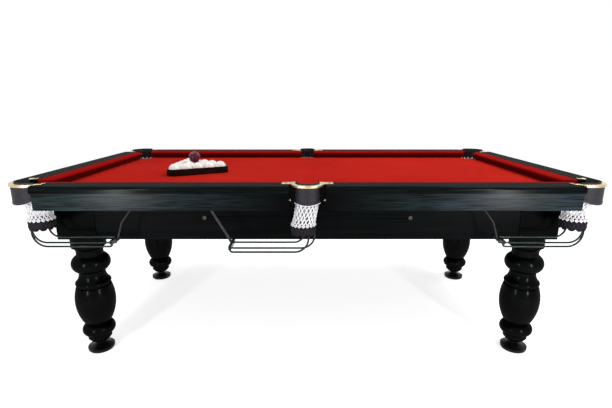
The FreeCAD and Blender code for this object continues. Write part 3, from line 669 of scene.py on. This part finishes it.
black_hide = hide("pocket_hide", paint(10, 8, 13), paint(44, 38, 52), 0.45)
dark_thread = spun("hem_thread", paint(92, 84, 96), paint(52, 46, 56))
white_cord = spun("net_cord", paint(246, 245, 247), paint(222, 221, 226))
# The ears are painted darker than the flaps: painted shade where they stand back in their recess.
shaded_ear_hide = hide("shaded_ear_hide", paint(4, 3, 4), paint(14, 11, 12), 0.65, 0.05)
ears = Mould()
for kind in ("corner", "side"):
    flaps = Mould()
    stitches = Mould()
    for pocket in (pocket for pocket in POCKETS if pocket.kind == kind):
        start, end = pocket.arc_ends
        outer = pocket.radius
        bends = [step / BEND_STEPS for step in range(BEND_STEPS + 1)]
        flaps.rings([flap_section(pocket, start + (end - start) * bend) for bend in bends])
        first, last = pocket.ring_ends
        flaps.rings([[pocket.spot(pocket.ring - far, first + (last - first) * bend, z)
                      for far, z in LINER_SECTION] for bend in bends])
        if kind == "side":
            for hand in (-1, 1):
                ears.rings([[pocket.spot(0.0, 0.0, z, (hand * x, out)) for x, z in
                             ((EAR_IN, LEATHER_LOW), (SKIRT_END, LEATHER_LOW), (SKIRT_END, LEATHER_HIGH),
                              (EAR_IN, LEATHER_HIGH))]
                            for out in (EAR_OUT, EAR_OUT + HIDE)])
        pace = math.degrees(STITCH_STEP / outer)
        length = math.degrees(STITCH / outer)
        for index in range(int((end - start - 2 * STITCH_MARGIN) / pace)):
            turn = start + STITCH_MARGIN + index * pace
            hem = hem_height(pocket, turn)
            for height, face in ((hem + HEM - HEM_STITCHES, outer),
                                 (LEATHER_HIGH - TOP_STITCHES, outer - HEM_STEP)):
                path = [pocket.spot(face + rise, turn + share * length, height)
                        for share, rise in STITCH_PATH]
                stitches.tube(path, THREAD, 6)
    made = flaps.make(f"{kind}_leather_flaps", black_hide)
    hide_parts(f"{kind}_leathers")
    stitches.make(f"{kind}_leather_stitches", dark_thread)
ears.make("pocket_ears", shaded_ear_hide)
cords = Mould()
nails = Mould()
for pocket in (pocket for pocket in POCKETS if pocket.kind == "side"):
    out = EAR_OUT + HIDE + HEM_CORD
    ends = [pocket.spot(0.0, 0.0, LEATHER_LOW + HEM_RISE, (hand * (SKIRT_END - NAIL_SET), out))
            for hand in (1, -1)]
    along = [pocket.spot(pocket.radius + HEM_CORD, turn, hem_height(pocket, turn) + HEM_CORD)
             for turn in CORD_TURNS]
    cords.tube([ends[0], *along, ends[1]], HEM_CORD, 8)
    for end in ends:
        cords.ball(end, 2 * HEM_CORD)
        nails.ball(end + Vector((0, pocket.signs[1] * NAIL_OUT, 0)), HEM_CORD)
cords.make("hem_cords", white_cord)
nails.make("hem_nails", bolt_steel)


# Nets of thick white cord, knotted in diamonds: each hangs inside its leather and is gathered onto its cup.
# A dark head rope carries the top knots, and the lowest loops are laced over the rim of the cup.
CORD = 2.8 * MM
KNOT = 4.4 * MM
MESHES = 18
ROWS = 7
CUP_RADIUS = 50 * MM
NET_FOOT = CUP_RADIUS - 4 * MM
NET_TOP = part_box("net_front_left")[1].z
CUP_SHIFT = {"corner": (-24 * MM, 30 * MM), "side": (17 * MM, 0.0)}
NET_RADIUS = {"corner": 78 * MM, "side": 48 * MM}
NET_WAIST = {"corner": 17 * MM, "side": 2 * MM}
NET_DRIFT = 1.6
KNOT_SLACK = 0.12
CORD_SAG = 0.8 * MM
ROPE_STEPS = 64
# A loop over the rim of the cup: how far aside in meshes, out from the cup and up from its rim.
LOOP = [(-0.34, -3 * MM, 5 * MM), (-0.22, 0.5 * MM, 1 * MM), (0.0, 1 * MM, -2 * MM),
        (0.22, 0.5 * MM, 1 * MM), (0.34, -3 * MM, 5 * MM)]
CUP_TOP = {"corner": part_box("corner_cups")[1].z, "side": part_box("side_cups")[1].z}
CUP_LOW = {"corner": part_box("corner_cups")[0].z, "side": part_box("side_cups")[0].z}


def net_spot(pocket, mesh, row):
    """Where a knot hangs: meshes are counted round the net and rows down from its head rope."""
    share = row / ROWS
    radius = NET_RADIUS[pocket.kind] * (1 - share) + NET_FOOT * share
    waist = NET_WAIST[pocket.kind] * math.sin(math.pi * min(share, 1.0))
    shift = [part * max(share, 0.0) ** NET_DRIFT for part in CUP_SHIFT[pocket.kind]]
    z = NET_TOP - CORD + (CUP_TOP[pocket.kind] + KNOT - NET_TOP + CORD) * share
    return pocket.spot(radius - waist, 360 * mesh / MESHES, z, shift)


slack = random.Random(5)
head_ropes = Mould()
for pocket in POCKETS:
    knots = {}
    for row in range(ROWS + 1):
        for index in range(MESHES):
            loose = 0.0 if row in (0, ROWS) else KNOT_SLACK
            mesh = index + row / 2 + slack.uniform(-loose, loose)
            knots[index, row] = net_spot(pocket, mesh, row + slack.uniform(-loose, loose))
    net = Mould()
    for index in range(MESHES):
        for row in range(ROWS):
            here = knots[index, row]
            for beside in (index, (index - 1) % MESHES):
                there = knots[beside, row + 1]
                middle = (here + there) / 2 - Vector((0, 0, CORD_SAG))
                net.tube([here, middle, there], CORD, 6)
        for row in range(ROWS + 1):
            net.ball(knots[index, row], KNOT)
        last = index + ROWS / 2
        hang = CUP_SHIFT[pocket.kind]
        rim = CUP_TOP[pocket.kind]
        lace = [pocket.spot(CUP_RADIUS + out, 360 * (last + aside) / MESHES, rim + rise, hang)
                for aside, out, rise in LOOP]
        net.tube(lace, CORD, 6)
    head = [net_spot(pocket, MESHES * step / ROPE_STEPS, 0.0) for step in range(ROPE_STEPS)]
    head_ropes.tube(head, CORD, 8, closed=True)
    made = net.make(f"knotted_net_{pocket.name}", white_cord)
    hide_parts(f"net_{pocket.name}")
head_ropes.make("head_ropes", dark_thread)


# Cups: short tubes of dark leather that gather the foot of each net, with a scalloped lower edge.
# Waxed cord is laced round them in diamonds between two rows of holes.
SCALLOPS = 10
SCALLOP_RISE = 9 * MM
SCALLOP_POWER = 1.4
CUP_WALL = 5 * MM
CUP_STEPS = 120
# The section of a cup, down the inside last: how far in from its radius, at which share of its height.
CUP_SECTION = [(2 * MM, 0.0), (0.4 * MM, 0.08), (0.0, 0.4), (0.6 * MM, 0.92), (2 * MM, 1.0), (CUP_WALL, 1.0),
               (CUP_WALL, 0.0)]
LACE = 1.2 * MM
LACE_OUT = 0.4 * MM
LACE_HIGH, LACE_LOW = 9 * MM, 32 * MM
cup_hide = hide("cup_hide", paint(10, 8, 13), paint(34, 28, 38), 0.5, 0.1)
wax_cord = spun("wax_cord", paint(60, 54, 62), paint(26, 22, 28))
for kind in ("corner", "side"):
    cups = Mould()
    laces = Mould()
    for pocket in (pocket for pocket in POCKETS if pocket.kind == kind):
        hang = CUP_SHIFT[kind]
        rings = []
        for inset, share in CUP_SECTION:
            ring = []
            for step in range(CUP_STEPS):
                wave = abs(math.sin(math.pi * SCALLOPS * step / CUP_STEPS))
                edge = CUP_LOW[kind] + SCALLOP_RISE * (1 - wave) ** SCALLOP_POWER
                z = edge * (1 - share) + CUP_TOP[kind] * share
                ring.append(pocket.spot(CUP_RADIUS - inset, 360 * step / CUP_STEPS, z, hang))
            rings.append(ring)
        cups.rings(rings, run_closed=True)
        for hand in (0, 1):
            zigzag = [pocket.spot(CUP_RADIUS + LACE_OUT, 360 * step / (2 * SCALLOPS),
                                  CUP_TOP[kind] - (LACE_HIGH if (step + hand) % 2 else LACE_LOW), hang)
                      for step in range(2 * SCALLOPS)]
            fine = []
            for here, there in zip(zigzag, zigzag[1:] + zigzag[:1]):
                fine += [here, here.lerp(there, 0.5)]
            laces.tube(fine, LACE, 6, closed=True)
    made = cups.make(f"{kind}_cup_leathers", cup_hide)
    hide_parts(f"{kind}_cups")
    laces.make(f"{kind}_cup_laces", wax_cord)


# Return rails: three round steel rods from each cup to a flat end bar, bent, welded and painted black.
# The balls roll out of the net along them, so the paint on top is rubbed smooth; its green, paler in
# patches, is a painted highlight.
def black_paint():
    finish = Finish("return_paint")
    orange_peel = finish.noise((500.0, 500.0, 500.0), 2.0)
    rubbed = finish.noise((12.0, 60.0, 60.0), 4.0)
    # The green of the paint, paler in patches, is a painted highlight.
    color = finish.mix(finish.ramp(rubbed, 0.4, 0.7), paint(8, 18, 14), paint(26, 54, 43))
    return finish.surface({"Base Color": color, "Roughness": 0.16 + 0.2 * rubbed, "Specular IOR Level": 0.2},
                          orange_peel, 0.0002)


return_paint = black_paint()
for pocket in POCKETS:
    dress(f"return_rails_{pocket.name}", return_paint)


# Hanger straps: bands of dark leather screwed under the slates, each carrying an end bar of the rods.
# At the corners the band is riveted down the face of the bar; at the sides it ends in a folded steel clip.
STRAP_WIDTH = 12 * MM
STRAP_THICKNESS = 4 * MM
STRAP_LEAN = 95 * MM
STRAP_FOOT = 30 * MM
STRAP_SAG = 16 * MM
STRAP_BEND = 6 * MM
SAG_SHARE = 0.45
SCREW_SHARE = 0.6
RUN_LENGTH = 305 * MM
BAR_THICKNESS = 12 * MM
BAR_HEIGHT = 16 * MM
BAR_DROP = 54 * MM
BAR_LAP = 1 * MM
RIVET = 2.2 * MM
RIVET_ROWS = (0.3, 0.75)
CLIP_WIDTH, CLIP_THICKNESS = 1.1 * STRAP_WIDTH, 0.4 * STRAP_THICKNESS
CLIP_OUT = 0.7 * STRAP_THICKNESS
CLIP_RIVET = 0.55
SLATE_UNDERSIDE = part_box("slate_middle")[0].z


def band(mould, path, across, width, thickness):
    """A flat band with softened edges along a path, as wide as given along the across direction."""
    rings = []
    for index, spot in enumerate(path):
        along = (path[min(index + 1, len(path) - 1)] - path[max(index - 1, 0)]).normalized()
        face = along.cross(across).normalized()
        half, deep, soft = width / 2, thickness / 2, thickness / 4
        section = [(half - soft, deep), (half, deep - soft), (half, soft - deep), (half - soft, -deep),
                   (soft - half, -deep), (-half, soft - deep), (-half, deep - soft), (soft - half, deep)]
        rings.append([spot + across * side + face * out for side, out in section])
    mould.rings(rings)


def bent(corners, reach, steps=5):
    """A path through corner points, with each inner corner rounded over a reach along its two runs."""
    path = [corners[0]]
    for before, corner, after in zip(corners, corners[1:], corners[2:]):
        start = corner + (before - corner).normalized() * reach
        end = corner + (after - corner).normalized() * reach
        for step in range(steps + 1):
            share = step / steps
            path.append(start.lerp(corner, share).lerp(corner.lerp(end, share), share))
    return path + [corners[-1]]


strap_hide = hide("strap_hide", paint(26, 24, 28), paint(70, 66, 74), 0.5)
straps = Mould()
fixings = Mould()
for pocket in POCKETS:
    cup = pocket.spot(0.0, 0.0, CUP_LOW[pocket.kind], CUP_SHIFT[pocket.kind])
    heading = -pocket.signs[0] if pocket.kind == "corner" else pocket.signs[1]
    run = Vector((heading, 0, 0))
    inwards = Vector((0, -pocket.signs[1], 0))
    bar_top = cup + run * RUN_LENGTH + Vector((0, 0, BAR_HEIGHT - BAR_DROP))
    hung = bar_top + run * STRAP_LEAN
    hung.z = SLATE_UNDERSIDE - STRAP_THICKNESS / 2
    half_strap = Vector((0, 0, STRAP_THICKNESS / 2))
    if pocket.kind == "corner":
        face = run * (BAR_THICKNESS + STRAP_THICKNESS) / 2
        tail = bar_top + face - Vector((0, 0, BAR_HEIGHT - BAR_LAP))
        sag = (bar_top + face).lerp(hung, SAG_SHARE) - run * STRAP_SAG
        path = bent([tail, bar_top + face, sag, hung, hung + run * STRAP_FOOT], STRAP_BEND)
        band(straps, path, inwards, STRAP_WIDTH, STRAP_THICKNESS)
        for share in RIVET_ROWS:
            for side in (-1, 1):
                aside = inwards * (side * STRAP_WIDTH / 4) + run * (STRAP_THICKNESS / 2)
                fixings.ball(tail.lerp(bar_top + face, share) + aside, RIVET)
        fixings.ball(hung + run * (SCREW_SHARE * STRAP_FOOT) - half_strap, RIVET)
    else:
        foot = bar_top + half_strap
        band(straps, [foot, hung], run, STRAP_WIDTH, STRAP_THICKNESS)
        band(straps, [hung, hung + inwards * STRAP_FOOT], run, STRAP_WIDTH, STRAP_THICKNESS)
        fixings.ball(hung + inwards * (SCREW_SHARE * STRAP_FOOT) - half_strap, RIVET)
        lean = (hung - foot).normalized()
        clip = [foot, foot + lean * STRAP_WIDTH]
        for out in (-1, 1):
            plate = [spot + inwards * (out * CLIP_OUT) for spot in clip]
            band(fixings, plate, run, CLIP_WIDTH, CLIP_THICKNESS)
            head = plate[0].lerp(plate[1], CLIP_RIVET) + inwards * (out * CLIP_THICKNESS / 2)
            fixings.ball(head, RIVET)
leather_straps = straps.make("leather_straps", strap_hide)
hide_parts("hanger_straps")
fixings.make("strap_fixings", bolt_steel)


# Balls of cast resin, ground true and polished: fifteen ivory ones in the rack, a dark red one on the pile.
# The resin is slightly cloudy, with faint marks from play.
def polished_resin(name, color, cloudy, shine, mirror):
    finish = Finish(name)
    clouds = finish.noise((40.0, 40.0, 40.0), 3.0)
    marks = finish.noise((600.0, 90.0, 600.0), 2.0)
    return finish.surface({"Base Color": finish.mix(clouds, color, cloudy),
                           "Roughness": shine + 0.12 * marks, "Specular IOR Level": mirror}, marks, 0.00005)


dress("white_balls", polished_resin("ivory_resin", paint(250, 246, 242), paint(240, 233, 227), 0.12, 0.5))
dress("cue_ball", polished_resin("red_resin", paint(94, 12, 38), paint(66, 6, 26), 0.1, 0.2))


# Rack: a triangle of dark hardwood with mitred, rounded corners, oiled and worn on its upper edge.
# It lies loose on the cloth round the ivory balls and lifts straight off them.
RACK_EDGE = 2 * MM


def oiled_wood():
    finish = Finish("rack_wood")
    grain = finish.noise((60.0, 60.0, 12.0), 5.0, 0.6)
    color = finish.mix(finish.ramp(grain, 0.35, 0.7), paint(14, 3, 2), paint(38, 10, 8))
    return finish.surface({"Base Color": color, "Roughness": 0.4 + 0.2 * grain, "Specular IOR Level": 0.05},
                          grain, 0.0004)


dress("rack", oiled_wood())
ease("rack", RACK_EDGE)


# Studio: a plain white floor that runs out to a white surround, and keeps the soft shadow of the table.
# Two wide lamps hang over the table, left and right, and two upright strips stand in front of it.
# Those on the right are stronger.
FLOOR_SIZE = 60.0
FLOOR_GLOW = 0.665
SKY_LIGHT, SKY_SEEN = 0.42, 0.58
LAMP_AIM = Vector((0, 0, 0.6))
floor_mesh = bpy.data.meshes.new("floor")
reach = FLOOR_SIZE / 2
plan = [(-reach, -reach, 0), (reach, -reach, 0), (reach, reach, 0), (-reach, reach, 0)]
floor_mesh.from_pydata(plan, [], [(0, 1, 2, 3)])
floor = bpy.data.objects.new("floor", floor_mesh)
bpy.context.scene.collection.objects.link(floor)


def seen_rays(finish):
    """One for rays that look at the surround straight, in a reflection or through glass; zero for light."""
    rays = [finish.node("ShaderNodeLightPath", output=name)
            for name in ("Is Camera Ray", "Is Glossy Ray", "Is Transmission Ray")]
    return rays[0] + rays[1] + rays[2]


paper = Finish("white_floor")
matt = paper.node("ShaderNodeBsdfDiffuse", None, {"Color": paint(232, 232, 232)})
glow = paper.node("ShaderNodeEmission", None, {"Color": paint(255, 255, 255),
                                               "Strength": seen_rays(paper) * FLOOR_GLOW})
both = paper.node("ShaderNodeAddShader", None, {0: matt, 1: glow})
paper.node("ShaderNodeOutputMaterial", None, {"Surface": both})
floor_mesh.materials.append(paper.material)

world = bpy.data.worlds.new("surround")
bpy.context.scene.world = world
world.use_nodes = True


class Surround(Finish):
    """The light all round, described with the same nodes as a finish."""

    def __init__(self, world):
        self.tree = world.node_tree
        self.tree.nodes.clear()


sky = Surround(world)
back = sky.node("ShaderNodeBackground", None, {"Color": paint(255, 255, 255),
                                               "Strength": SKY_LIGHT + SKY_SEEN * seen_rays(sky)})
sky.node("ShaderNodeOutputWorld", None, {"Surface": back})

LAMPS = {"overhead_left": ((-1.6, 0.3, 3.4), (1.5, 1.5), 22.0),
         "overhead_right": ((2.1, 0.3, 3.4), (1.5, 1.5), 60.0),
         "front_left": ((-1.5, -2.3, 0.9), (0.12, 0.9), 23.0),
         "front_right": ((1.55, -2.3, 0.9), (0.12, 0.9), 29.0)}
for name, (spot, (width, height), watts) in LAMPS.items():
    light = bpy.data.lights.new(name, "AREA")
    light.shape = "RECTANGLE"
    light.size = width
    light.size_y = height
    light.energy = watts
    lamp = bpy.data.objects.new(name, light)
    lamp.location = spot
    lamp.visible_camera = False
    lamp.rotation_euler = (LAMP_AIM - Vector(spot)).to_track_quat("-Z", "Y").to_euler()
    bpy.context.scene.collection.objects.link(lamp)


# Camera: it stands in front of the long side, a little above the bed, and looks slightly down.
# The lens is wide, and its small shift sets the table in the frame as it was framed.
FRAME_WIDTH = 612
FRAME_SHIFT = -1.5
SENSOR, LENS = 36.0, 24.34
CAMERA_SPOT = (0.0, -2.301, 1.190)
CAMERA_PITCH = 13.55
lens = bpy.data.cameras.new("camera")
lens.sensor_width = SENSOR
lens.lens = LENS
lens.shift_x = FRAME_SHIFT / FRAME_WIDTH
camera = bpy.data.objects.new("camera", lens)
camera.location = CAMERA_SPOT
camera.rotation_euler = (math.radians(90 - CAMERA_PITCH), 0, 0)
bpy.context.scene.collection.objects.link(camera)
bpy.context.scene.camera = camera
bpy.context.scene.view_settings.view_transform = "Standard"
